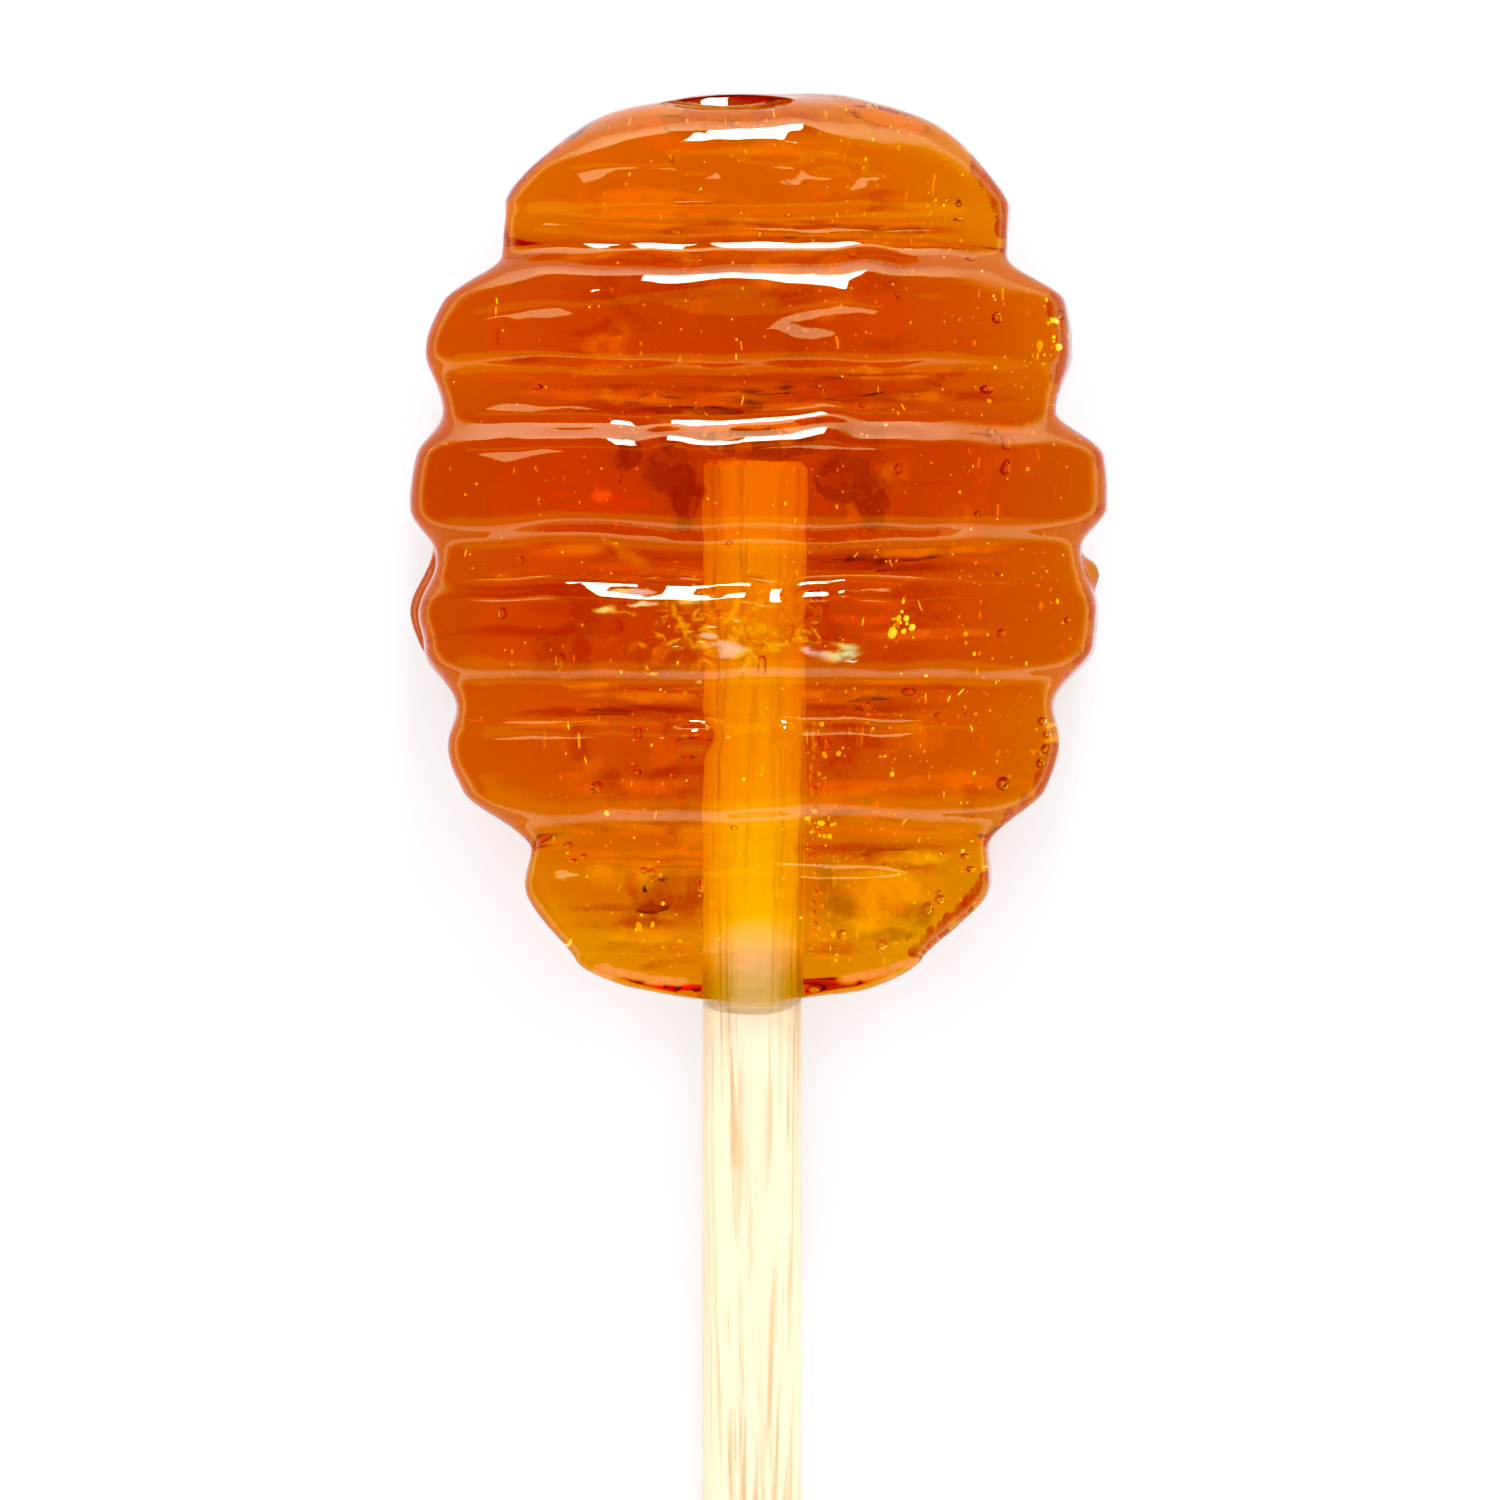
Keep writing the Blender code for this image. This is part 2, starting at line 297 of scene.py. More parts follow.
def body_profile():
    """One row for each ring above the lip: its place, its reach to all sides and its section's form."""
    places = ring_places()
    inner = np.clip(places, DOME_END, FOOT_START)

    def dome_form(rise, root):
        return (1 - (1 - np.minimum(places / DOME_END, 1))**rise)**(1 / root)

    dome_share = dome_form(*DOME_POWERS)
    dome_depth = dome_form(*DOME_DEPTH_POWERS)
    turn = np.clip((places - FOOT_START) / (FOOT_END - FOOT_START), 0, 1)
    foot_share = (1 - turn**FOOT_POWER)**(1 / FOOT_POWER)

    def carried(values):
        return LIP_START_RADIUS + (values * dome_share - LIP_START_RADIUS) * foot_share

    sides = [side_curve(RIB_EDGES + GROOVE_FLOORS, column)(inner) for column in (1, 2)]
    columns = [places] + [carried(side) for side in sides]
    for softness in FLANK_SOFTNESS:
        front_groove = groove_depth(inner, softness)
        back_groove = groove_depth(inner, softness + BACK_SOFTNESS) * BACK_SHARE
        for column, groove in ((1, front_groove), (2, back_groove)):
            crown = side_curve(RIB_DEPTHS, column)(np.clip(inner, RIB_DEPTHS[0][0], RIB_DEPTHS[-1][0]))
            full = crown * dome_depth - groove * dome_share
            columns.append(LIP_START_RADIUS + (full - LIP_START_RADIUS) * foot_share)
    shoulder = DOME_ROUNDING + (1 - DOME_ROUNDING) * eased(places / DOME_ROUND_LENGTH)
    columns += [ROUND_POWER + (power - ROUND_POWER) * foot_share * shoulder for power in SECTION_POWERS]
    columns.append(foot_share)
    return np.array(columns).T


def head_profile():
    """The rings of the body and of the lip round the stick."""
    angles = np.linspace(0, math.pi / 2, LIP_ARC_RINGS + 1)[1:]
    rings = [(FOOT_END + LIP_RADIUS * (1 - math.cos(angle)), LIP_START_RADIUS - LIP_RADIUS * math.sin(angle))
             for angle in angles]
    rings += [(FOOT_END + LIP_RADIUS, STICK_RADIUS * share) for share in LIP_CAP_SHARES]
    sides = SIDE_BACK - DOWN
    lip = [(place,) + (radius,) * sides + (ROUND_POWER, ROUND_POWER, 0.0) for place, radius in rings]
    return np.concatenate([body_profile(), lip])


def linked(name, data):
    """A new object in the scene."""
    made = bpy.data.objects.new(name, data)
    bpy.context.scene.collection.objects.link(made)
    return made


def marked_points(name, points, marks):
    """Loose points that carry named numbers or vectors."""
    mesh = bpy.data.meshes.new(name)
    mesh.from_pydata(points, [], [])
    for label, values in marks.items():
        kind, key = ("FLOAT", "value") if values.ndim == 1 else ("FLOAT_VECTOR", "vector")
        layer = mesh.attributes.new(label, kind, "POINT")
        layer.data.foreach_set(key, values.ravel())
    return linked(name, mesh)


def profile_object(name, rows):
    """A line of points that carries each ring's sizes in metres."""
    lengths = ("place", "left", "right", "front", "back", "side front", "side back")
    marks = {label: rows[:, column] * MM for column, label in enumerate(lengths)}
    for column, label in ((LEFT_POWER, "left power"), (RIGHT_POWER, "right power"), (SLAB, "slab")):
        marks[label] = rows[:, column]
    return marked_points(name, [(0, -row[DOWN] * MM, 0) for row in rows], marks)


# ---- geometry trees ----

def geometry_graph(name, sizes):
    """A geometry tree with one named input for each size, and the values of those inputs."""
    tree = bpy.data.node_groups.new(name, "GeometryNodeTree")
    tree.interface.new_socket("Geometry", in_out="INPUT", socket_type="NodeSocketGeometry")
    tree.interface.new_socket("Geometry", in_out="OUTPUT", socket_type="NodeSocketGeometry")
    kinds = {int: "NodeSocketInt", float: "NodeSocketFloat", Vector: "NodeSocketVector"}
    for label, value in sizes.items():
        tree.interface.new_socket(label, in_out="INPUT", socket_type=kinds[type(value)])
    graph = Graph(tree)
    entry = graph.node("NodeGroupInput")
    return graph, {label: entry.output(label) for label in ["Geometry"] + list(sizes)}


def close_graph(graph, geometry, material):
    """Ends a tree with smooth, plain geometry of one material."""
    smooth = graph.node("GeometryNodeSetShadeSmooth", inputs={"Geometry": geometry, "Shade Smooth": True})
    realized = graph.node("GeometryNodeRealizeInstances", inputs={"Geometry": smooth})
    coloured = graph.node("GeometryNodeSetMaterial", inputs={"Geometry": realized, "Material": material})
    graph.close("NodeGroupOutput", {0: coloured})


def finished_piece(base, graph, sizes, name, material):
    """Runs a tree on its base object and keeps the result as a plain mesh."""
    modifier = base.modifiers.new(name, "NODES")
    modifier.node_group = graph.tree
    for item in graph.tree.interface.items_tree:
        if item.in_out == "INPUT" and item.name in sizes:
            modifier[item.identifier] = sizes[item.name]
    bpy.context.view_layer.update()
    evaluated = base.evaluated_get(bpy.context.evaluated_depsgraph_get())
    mesh = bpy.data.meshes.new_from_object(evaluated)
    mesh.name = name
    bpy.data.objects.remove(base, do_unlink=True)
    mesh.materials.clear()
    mesh.materials.append(material)
    return linked(name, mesh)


# ---- where the frame puts the lollipop ----

def stick_ends():
    """Middle of the stick's upper and lower end."""
    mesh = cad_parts["stick"].data
    points = np.empty(len(mesh.vertices) * 3)
    mesh.vertices.foreach_get("co", points)
    points = points.reshape(-1, 3)
    near = 1.0 * MM
    upper = points[points[:, 1] > points[:, 1].max() - near].mean(axis=0)
    lower = points[points[:, 1] < points[:, 1].min() + near].mean(axis=0)
    return Vector(upper), Vector(lower)


def head_placement():
    """From the head's drawing, with the top of the axis at the origin, to its place in the frame."""
    upper, lower = stick_ends()
    axis = (upper - lower).normalized()
    tilt = math.atan2(axis.z, axis.y)
    return upper + axis * (STICK_TOP * MM), tilt


HEAD_TOP, TILT = head_placement()
PLACE = Matrix.Translation(HEAD_TOP) @ Matrix.Rotation(TILT, 4, "X")


# ---- materials ----

def material_graph(name):
    material = bpy.data.materials.new(name)
    material.use_nodes = True
    material.node_tree.nodes.clear()
    return material, Graph(material.node_tree)


def covered(material, graph, skin):
    """The material, with its skin in place."""
    graph.close("ShaderNodeOutputMaterial", {"Surface": graph.node("ShaderNodeBsdfPrincipled", inputs=skin)})
    return material


def clear_skin(ior):
    return {"Base Color": (1, 1, 1, 1), "Roughness": 0.0, "IOR": ior, "Transmission Weight": 1.0}


SUGAR_IOR = 1.5
AIR_IOR = 0.667  # of air, seen from inside the candy
SUGAR_TINT = (0.97, 0.77, 0.1, 1)  # what the sugar lets through
SUGAR_DENSITY = 1.0 / MM


def amber_candy():
    material, graph = material_graph("amber_candy")
    skin = graph.node("ShaderNodeBsdfPrincipled", inputs=clear_skin(SUGAR_IOR))
    depth = graph.node("ShaderNodeVolumeAbsorption", inputs={"Color": SUGAR_TINT, "Density": SUGAR_DENSITY})
    graph.close("ShaderNodeOutputMaterial", {"Surface": skin, "Volume": depth})
    return material


def bubble_air():
    """Air seen from inside the candy."""
    material, graph = material_graph("bubble_air")
    return covered(material, graph, clear_skin(AIR_IOR))


def lit_bubble():
    """A bubble too small to see through, bright with the light it throws back."""
    material, graph = material_graph("lit_bubble")
    light = graph.smooth(graph.noise(graph.object_place(), 1 / (2.5 * MM), 1.0), 0.35, 0.65, 0.3, 1.1)
    return covered(material, graph, {
        "Base Color": (0.8, 0.4, 0.05, 1), "Roughness": 0.3,
        "Emission Color": graph.xyz(light * 1.0, light * 0.75, light * 0.12), "Emission Strength": 1.0})


def soft_rim(graph, start=0.3):
    """1 in the middle of a flat piece, fading to 0 at its rim."""
    spread = graph.node("ShaderNodeAttribute", {"attribute_name": "spread"}).output("Fac")
    return graph.smooth(spread, start, 1.0, 1.0, 0.0)


PATCH_LEVEL = 0.48  # of the unevenness, halfway between a thin spot and a thick one
THIN_SHARE = 0.3  # of a cloud's cover that its thin spots have


def tinted_sugar(name, tint, cover, light=0.9, grain=1.1, edge=0.24, rim=0.3):
    """Thin clouds in the candy that glow with painted light, in place of the light they scatter. Cover is
    their greatest cover, grain the size of their patches in mm, a small edge makes those crisp, and rim is
    where the fading starts."""
    material, graph = material_graph(name)
    lumps = graph.noise(graph.object_place(), 1 / (grain * MM), 3.0)
    start, end = PATCH_LEVEL - edge / 2, PATCH_LEVEL + edge / 2
    patches = graph.smooth(lumps, start, end, THIN_SHARE * cover, cover) * soft_rim(graph, rim)
    return covered(material, graph, {
        "Base Color": (0.2, 0.02, 0.0, 1), "Roughness": 0.5, "Alpha": patches,
        "Emission Color": tint + (1,), "Emission Strength": light})


def crack_sheen():
    """Thin flakes that shine in pale rainbow colours: a painted sheen that glows in place of the light their
    thin film reflects.
    """
    material, graph = material_graph("crack_sheen")
    violet, gold, green = (0.75, 0.55, 1.0, 1), (1.0, 0.8, 0.45, 1), (0.5, 1.0, 0.85, 1)
    place = graph.object_place()
    hue = graph.noise(place.vector_math("MULTIPLY", (0.5, 1.0, 1.0)), 1 / (0.8 * MM), 1.0)
    warm = graph.mixed_colour(graph.smooth(hue, 0.4, 0.5), violet, gold)
    colour = graph.mixed_colour(graph.smooth(hue, 0.5, 0.6), warm, green)
    lumps = graph.noise(place.vector_math("MULTIPLY", (0.4, 1.0, 1.0)), 1 / (0.5 * MM), 2.0)
    patches = graph.smooth(lumps, 0.36, 0.6, 0.0, 0.55) * soft_rim(graph)
    return covered(material, graph, {
        "Base Color": (0.5, 0.4, 0.3, 1), "Roughness": 0.4, "Alpha": patches,
        "Emission Color": colour, "Emission Strength": 0.9})


def pale_wood():
    """Raw wood with a lengthwise grain, soaked with sugar and lit up inside the candy."""
    material, graph = material_graph("pale_wood")
    place = graph.object_place()
    _, along, _ = place.axes()
    fibres = graph.noise(place.vector_math("MULTIPLY", (1.0, 0.02, 1.0)), 1 / (0.32 * MM), 4.0, 0.65)
    bands = graph.noise(place.vector_math("MULTIPLY", (1.0, 0.012, 1.0)), 1 / (1.1 * MM), 1.0)
    grain = graph.smooth(fibres, 0.45, 0.66) * graph.smooth(bands, 0.4, 0.6, 0.2, 1.0)
    mouth = HEAD_TOP.y - FOOT_END * MM
    sunk = graph.smooth(along, mouth - 0.3 * MM, mouth + 2.2 * MM)
    dry = graph.mixed_colour(grain, (0.84, 0.68, 0.54, 1), (0.6, 0.4, 0.24, 1))
    soaked = graph.mixed_colour(grain, (0.78, 0.52, 0.26, 1), (0.6, 0.3, 0.1, 1))
    # Inside the candy the wood glows with painted light, in place of the light the candy carries to it. Near
    # the mouth the glow is paler: a painted reflection of the pale film on the candy's collar.
    glow = sunk * (1 - 0.45 * grain)
    near_mouth = graph.smooth(along, mouth + 0.3 * MM, mouth + 3.3 * MM, 1.0, 0.0)
    bump = graph.node("ShaderNodeBump", inputs={"Strength": 0.4, "Distance": 0.05 * MM, "Height": fibres})
    red = glow * (0.47 + 0.09 * near_mouth)
    green = glow * (0.34 - 0.02 * near_mouth)
    blue = glow * (0.02 + 0.3 * near_mouth)
    return covered(material, graph, {
        "Base Color": graph.mixed_colour(sunk, dry, soaked), "Roughness": 0.6, "Normal": bump,
        "Emission Color": graph.xyz(red, green, blue), "Emission Strength": 1.0})


# ---- pieces ----

# Small bumps and hollows of the front: across and down in the drawing, half-width, half-length, height.
BUMPS = (
    (-2.3, 25.5, 1.5, 0.8, 0.26),
    (1.3, 25.4, 0.7, 0.6, 0.22),
    (1.2, 31.4, 0.9, 0.7, 0.14),
    (3.0, 13.3, 1.6, 0.8, 0.14),
    (-3.4, 13.7, 1.3, 0.6, 0.1),
    (0.9, 19.9, 1.4, 0.7, -0.12),
    (-3.2, 19.4, 1.5, 0.7, 0.1),
    (3.6, 19.8, 0.8, 0.5, 0.1),
    (4.6, 6.6, 1.6, 0.8, 0.08),
    (-6.9, 8.6, 1.7, 1.4, 0.08),
    (-7.0, 8.4, 0.8, 0.5, -0.03),
    (5.2, 8.9, 1.4, 1.1, 0.09),
    (-0.1, 1.55, 2.4, 0.9, 0.1),
    (-4.3, 3.1, 1.7, 0.6, 0.09),
    (-2.2, 3.6, 1.3, 0.5, 0.07),
    (1.0, 3.0, 1.9, 0.6, 0.08),
    (3.0, 3.5, 1.3, 0.5, 0.06),
    (5.3, 3.4, 1.2, 0.6, 0.09),
)


def cast_head(material):
    """The head's skin, spun ring by ring from its profile."""
    sizes = {
        "Rings": 0,
        "Ring points": RING_POINTS + 1,
        "Face fall": FACE_FALL,
        "Face lean": FACE_LEAN,
        "Left draft": WALL_DRAFT[0],
        "Right draft": WALL_DRAFT[1],
        "Flash place": 20.3 * MM,
        "Flash reach": 2.6 * MM,
        "Flash draft": 0.03,
        "Lip sag": LIP_SAG * MM,
        "Drift": 0.3 * MM,
        "Drift length": 5.0 * MM,
        "Drift start": 9.0 * MM,
        "Drift end": 12.5 * MM,
        "Rim drift": 0.35,
        "Swell depth": 0.16 * MM,
        "Swell length": 4.5 * MM,
        "Rougher back": 1.6,
        "Rougher start": 8.0 * MM,
        "Rougher end": 11.5 * MM,
        "Swell start": Vector((0.0, 0.0, 40.0)) * MM,
        "Wave depth": 0.08 * MM,
        "Wave length": 1.8 * MM,
        "Dimple place": Vector((-1.02, -0.29, 0.05)) * MM,
        "Dimple reach": Vector((2.3, 0.34, 1.0)) * MM,
        "Dimple slope": 0.64,
        "Dimple bow": 0.07 / MM,
        "Dimple rim": 0.3 * MM,
        "Bead place": Vector((13.4, -19.1, 0.8)) * MM,
        "Bead reach": Vector((0.9, 0.9, 0.8)) * MM,
        "Bead height": 0.4 * MM,
        "Head top": Vector(HEAD_TOP),
        "Tilt": Vector((TILT, 0, 0)),
    }
    for number, (across, down, half_width, half_length, height) in enumerate(BUMPS):
        sizes[f"Bump {number} place"] = Vector((across, -down, 5.0)) * MM
        sizes[f"Bump {number} reach"] = Vector((half_width, half_length, 5.0)) * MM
        sizes[f"Bump {number} height"] = height * MM
    rows = head_profile()
    sizes["Rings"] = len(rows)
    graph, size = geometry_graph("ribbed_head", sizes)

    grid = graph.node("GeometryNodeMeshGrid", inputs={
        "Size X": 1.0, "Size Y": 1.0, "Vertices X": size["Ring points"], "Vertices Y": size["Rings"]})
    x, y, _ = graph.here().axes()
    turn = (x + 0.5) * (2 * math.pi)
    ring = (y + 0.5) * (size["Rings"] - 1)
    index = graph.node("FunctionNodeFloatToInt", {"rounding_mode": "ROUND"}, {0: ring})

    def of_ring(label):
        return graph.node("GeometryNodeSampleIndex", {"data_type": "FLOAT"}, {
            "Geometry": size["Geometry"], "Value": graph.named(label), "Index": index})

    run = turn.math("COSINE", turn)
    rise = turn.math("SINE", turn) * FACE_DENSITY
    on_right = run > 0
    power = on_right.mixed(of_ring("left power"), of_ring("right power"))
    reach = (abs(run)**power + abs(rise)**power)**(-1 / power)
    across = run * reach
    up = rise * reach
    slab = of_ring("slab")
    side = on_right.mixed(of_ring("left"), of_ring("right"))
    middle_depth = (up > 0).mixed(of_ring("back"), of_ring("front"))
    side_depth = (up > 0).mixed(of_ring("side back"), of_ring("side front"))
    depth = graph.smooth(abs(across), 0.3, 1.0).mixed(middle_depth, side_depth)
    front_share = up.math("MAXIMUM", up, 0.0)
    from_flash = abs(of_ring("place") - size["Flash place"]) / size["Flash reach"]
    flash = graph.smooth(from_flash, 0.4, 1.0, 1.0, 0.0) * graph.smooth(front_share, 0.0, 0.08)
    flash = (1 - on_right) * flash * size["Flash draft"]
    draft = on_right.mixed(size["Left draft"], size["Right draft"]) * slab
    fall = (size["Face fall"] * across * across + size["Face lean"] * across * front_share) * slab
    place_x = side * across * (1 - draft * front_share - flash)
    place_z = depth * up * (1 - fall)
    sag = size["Lip sag"] * front_share * (1 - slab)
    spun = graph.moved(grid, "Position", graph.xyz(place_x, 0 - of_ring("place") - sag, place_z))
    closed = graph.node("GeometryNodeMergeByDistance", inputs={"Geometry": spun, "Distance": 1e-4 * MM})

    here = graph.here()
    away_x, _, away_z = here.axes()
    off_side = graph.smooth(abs(away_x), size["Drift start"], size["Drift end"], 1.0, size["Rim drift"])
    drifting = here.vector_math("MULTIPLY", (1.0, 0.5, 1.0))
    drift = (graph.noise(drifting, 1 / size["Drift length"], 1.0) - 0.5) * 2
    drifted = graph.moved(closed, "Offset", graph.xyz(0.0, drift * size["Drift"] * off_side, 0.0))
    normal = graph.node("GeometryNodeInputNormal")
    stretched = here.vector_math("MULTIPLY", (0.4, 1.0, 1.0))
    swollen = here.vector_math("ADD", size["Swell start"]).vector_math("MULTIPLY", (0.6, 1.0, 1.0))
    swell = (graph.noise(swollen, 1 / size["Swell length"], 1.0) - 0.5) * 2
    ripple = (graph.noise(stretched, 1 / size["Wave length"]) - 0.5) * 2
    at_back = graph.smooth(away_z, -1.0 * MM, 1.0 * MM, 1.0, 0.0)
    off_wall = graph.smooth(abs(away_x), size["Rougher start"], size["Rougher end"], 1.0, 0.0)
    rougher = 1 + at_back * off_wall * size["Rougher back"]
    wave = swell * size["Swell depth"] * rougher + ripple * size["Wave depth"]

    def away_from(form):
        """How far a point is from a form's middle, as a share of the form's reach."""
        off = here.vector_math("SUBTRACT", size[f"{form} place"])
        return off.vector_math("DIVIDE", size[f"{form} reach"]).length()

    relief = wave + graph.smooth(away_from("Bead"), 0.2, 1.0, size["Bead height"], 0.0)
    for number in range(len(BUMPS)):
        share = graph.smooth(away_from(f"Bump {number}"), 0.0, 1.0, 1.0, 0.0)
        relief = relief + share * size[f"Bump {number} height"]
    waved = graph.moved(drifted, "Offset", normal.scaled(relief))

    here = graph.here()
    here_x, here_y, here_z = here.axes()
    off_x, off_y, _ = here.vector_math("SUBTRACT", size["Dimple place"]).axes()
    reach_x, reach_y, _ = size["Dimple reach"].axes()
    _, _, floor = size["Dimple place"].axes()
    off_middle = off_x * off_x / (reach_x * reach_x) + off_y * off_y / (reach_y * reach_y)
    bowl = floor - off_y * size["Dimple slope"] + off_x * off_x * size["Dimple bow"]
    bowl = bowl + off_middle**4 * size["Dimple rim"]
    dimpled = graph.moved(waved, "Position", graph.xyz(here_x, here_y, here_z.math("MINIMUM", here_z, bowl)))

    placed = graph.node("GeometryNodeTransform", inputs={
        "Geometry": dimpled, "Translation": size["Head top"], "Rotation": size["Tilt"]})
    x, y, height = graph.here().axes()
    rested = graph.moved(placed, "Position", graph.xyz(x, y, height.math("MAXIMUM", height, 0.0)))
    close_graph(graph, rested, material)
    return finished_piece(profile_object("head_profile", rows), graph, sizes, "candy_head", material)


def head_point(across, down, height):
    """A place in the frame, in metres, from one on the head's drawing in mm."""
    return PLACE @ (Vector((across, -down, height)) * MM)


def reach_at(body, down, columns):
    """The profile's values at a distance below the top, or at several of them."""
    return [np.interp(down, body[:, DOWN], body[:, column]) for column in columns]


def scattered_points(count, seed, margin, heavy_side=0.0):
    """Random places inside the candy and clear of the stick; heavy_side moves them to the lower right."""
    random = np.random.default_rng(seed)
    body = body_profile()
    points = []
    while len(points) < count:
        down = random.uniform(0.8, FOOT_END - 1.0)
        left, right, front, back = reach_at(body, down, (LEFT, RIGHT, FRONT, BACK))
        across, height = random.uniform(-left + margin, right - margin), random.uniform(-back, front)
        keep = 0.5 + 0.5 * (across / right) * heavy_side + (down / FOOT_END - 0.5) * 0.4 * heavy_side
        edge = max(across / right, -across / left)
        ceiling = front * (1 - FACE_FALL * edge**2 - FACE_LEAN * across / right) - margin
        floor = back * (1 - FACE_FALL * edge**2) - margin
        clear = math.hypot(across, height) > STICK_RADIUS + margin or down < STICK_TOP - margin
        if random.random() < keep and -floor < height < ceiling and clear:
            points.append((across, down, height))
    return points


def inside(body, point, margin):
    """Whether a place on the head's drawing lies in the candy and clear of its skin by a margin in mm."""
    across, down, height = point
    reaches = reach_at(body, down, range(LEFT, SLAB))
    left, right, front, back, side_front, side_back, left_power, right_power = reaches
    side, power = (right, right_power) if across > 0 else (left, left_power)
    if across < 0 < height and FLASH_SPAN[0] < down < FLASH_SPAN[1]:
        side -= FLASH_STEP
    share = across / (side - margin)
    fall = FACE_FALL * share**2 + FACE_LEAN * max(share, 0.0)
    depth = (min(front, side_front) if height > 0 else min(back, side_back)) * (1 - fall) - margin
    return down < FOOT_END - margin and abs(share)**power + abs(height / depth)**power < 1


def sunk(body, piece, margin=0.15):
    """Whether all four tips of a flat piece lie in the candy."""
    across, down, height, half_width, half_length = piece[:5]
    tips = ((across - half_width, down), (across + half_width, down),
            (across, down - half_length), (across, down + half_length))
    return all(inside(body, (x, y, height), margin) for x, y in tips)


def scattered_balls(name, points, sizes, leans, inputs, material):
    """One ball on each point, with its own half-sizes in mm and turn, then all of them made uneven."""
    graph, size = geometry_graph(name, inputs)
    ball = graph.node("GeometryNodeMeshIcoSphere", inputs={
        "Radius": 1.0, "Subdivisions": size["Ball steps"]})
    off_middle = graph.here().vector_math("MULTIPLY", (1.0, 1.0, 0.0))
    marked = graph.node("GeometryNodeStoreNamedAttribute", {"data_type": "FLOAT", "domain": "POINT"}, {
        "Geometry": ball, "Name": "spread", "Value": off_middle.length()})
    placed = graph.node("GeometryNodeInstanceOnPoints", inputs={
        "Points": size["Geometry"], "Instance": marked,
        "Rotation": graph.named("lean", "FLOAT_VECTOR"), "Scale": graph.named("size", "FLOAT_VECTOR")})
    loose = graph.node("GeometryNodeRealizeInstances", inputs={"Geometry": placed})
    lumps = graph.noise(graph.here(), 1 / size["Lump length"], 1.5).output(1)
    push = lumps.vector_math("SUBTRACT", (0.5, 0.5, 0.5)).scaled(2 * size["Lump depth"])
    uneven = graph.moved(loose, "Offset", push)
    close_graph(graph, uneven, material)
    places = [head_point(*point) for point in points]
    base = marked_points(name + "_points", places, {"size": sizes * MM, "lean": leans})
    return finished_piece(base, graph, inputs, name, material)


def small_leans(random, count, spread):
    return np.column_stack([np.zeros(count), np.zeros(count), random.normal(0.0, spread, count)])


# Where the specks crowd: across and down in the drawing, height above the axis, spread and count.
SPECK_CLUSTERS = (
    (2.9, 29.0, 1.6, 0.4, 12),
    (3.0, 31.5, 1.2, 0.4, 14),
    (3.1, 33.4, 0.8, 0.35, 12),
    (2.6, 26.5, 2.0, 0.3, 8),
    (-3.8, 33.6, 0.6, 0.9, 16),
    (5.9, 21.2, 3.8, 0.25, 16),
    (11.6, 9.3, 2.2, 0.3, 9),
    (10.9, 10.3, 2.0, 0.35, 6),
    (11.5, 25.6, 1.2, 0.25, 9),
    (13.0, 22.5, 0.4, 0.15, 4),
)


def light_specks():
    """Tiny bubbles that catch the light, round or drawn out along the head."""
    random = np.random.default_rng(11)
    round_ones = scattered_points(1500, seed=21, margin=0.25, heavy_side=0.6)
    drawn_ones = scattered_points(170, seed=22, margin=0.4, heavy_side=0.7)
    clustered = []
    for across, down, height, spread, count in SPECK_CLUSTERS:
        clustered += list(random.normal((across, down, height), (spread, 1.6 * spread, 0.4), (count, 3)))
    points = round_ones + clustered + drawn_ones
    radii = list(np.clip(random.lognormal(-3.3, 0.4, len(round_ones)), 0.018, 0.1))
    radii += list(np.clip(random.lognormal(-2.7, 0.5, len(clustered)), 0.04, 0.2))
    lengths = [radius * random.uniform(0.9, 1.4) for radius in radii]
    thin = list(random.uniform(0.022, 0.045, len(drawn_ones)))
    radii += thin
    lengths += [radius * random.uniform(3.0, 7.0) for radius in thin]
    body = body_profile()
    specks = [speck for speck in zip(points, radii, lengths) if inside(body, speck[0], 0.25)]
    points, radii, lengths = zip(*specks)
    inputs = {"Ball steps": 1, "Lump depth": 0.03 * MM, "Lump length": 0.35 * MM}
    return scattered_balls("light_specks", points, np.column_stack([radii, lengths, radii]),
                           small_leans(random, len(points), 0.25), inputs, lit_bubble())


# The larger bubbles near the front: across and down in the drawing, height above the axis and radius.
RING_BUBBLES = (
    (-6.1, 27.5, 3.3, 0.32),
    (-4.3, 31.0, 2.2, 0.2),
    (-3.95, 31.2, 2.1, 0.24),
    (5.6, 21.1, 4.0, 0.22),
    (9.9, 27.4, 2.2, 0.28),
    (11.4, 25.1, 1.6, 0.18),
    (11.55, 25.6, 1.6, 0.14),
    (11.5, 26.1, 1.5, 0.2),
    (11.3, 26.6, 1.5, 0.16),
    (5.1, 33.8, 0.9, 0.26),
    (7.4, 32.0, 0.8, 0.22),
    (9.4, 13.9, 3.2, 0.3),
    (-9.8, 20.6, 3.0, 0.2),
)


def air_bubbles():
    """Round bubbles large enough to show their rim, and a row of them along the stick."""
    random = np.random.default_rng(5)
    loose = scattered_points(100, seed=31, margin=0.5, heavy_side=0.9)
    beads = [(2.3 + random.uniform(0.0, 0.2), down, 1.4) for down in np.arange(25.4, 33.2, 0.42)]
    points = loose + [row[:3] for row in RING_BUBBLES] + beads
    radii = list(np.clip(random.lognormal(-1.8, 0.35, len(loose)), 0.1, 0.28))
    radii += [row[3] for row in RING_BUBBLES]
    radii = np.array(radii + list(random.uniform(0.1, 0.2, len(beads))))
    lengths = radii * random.uniform(0.9, 1.25, len(points))
    inputs = {"Ball steps": 3, "Lump depth": 0.03 * MM, "Lump length": 0.35 * MM}
    return scattered_balls("air_bubbles", points, np.column_stack([radii, lengths, radii]),
                           small_leans(random, len(points), 0.3), inputs, bubble_air())


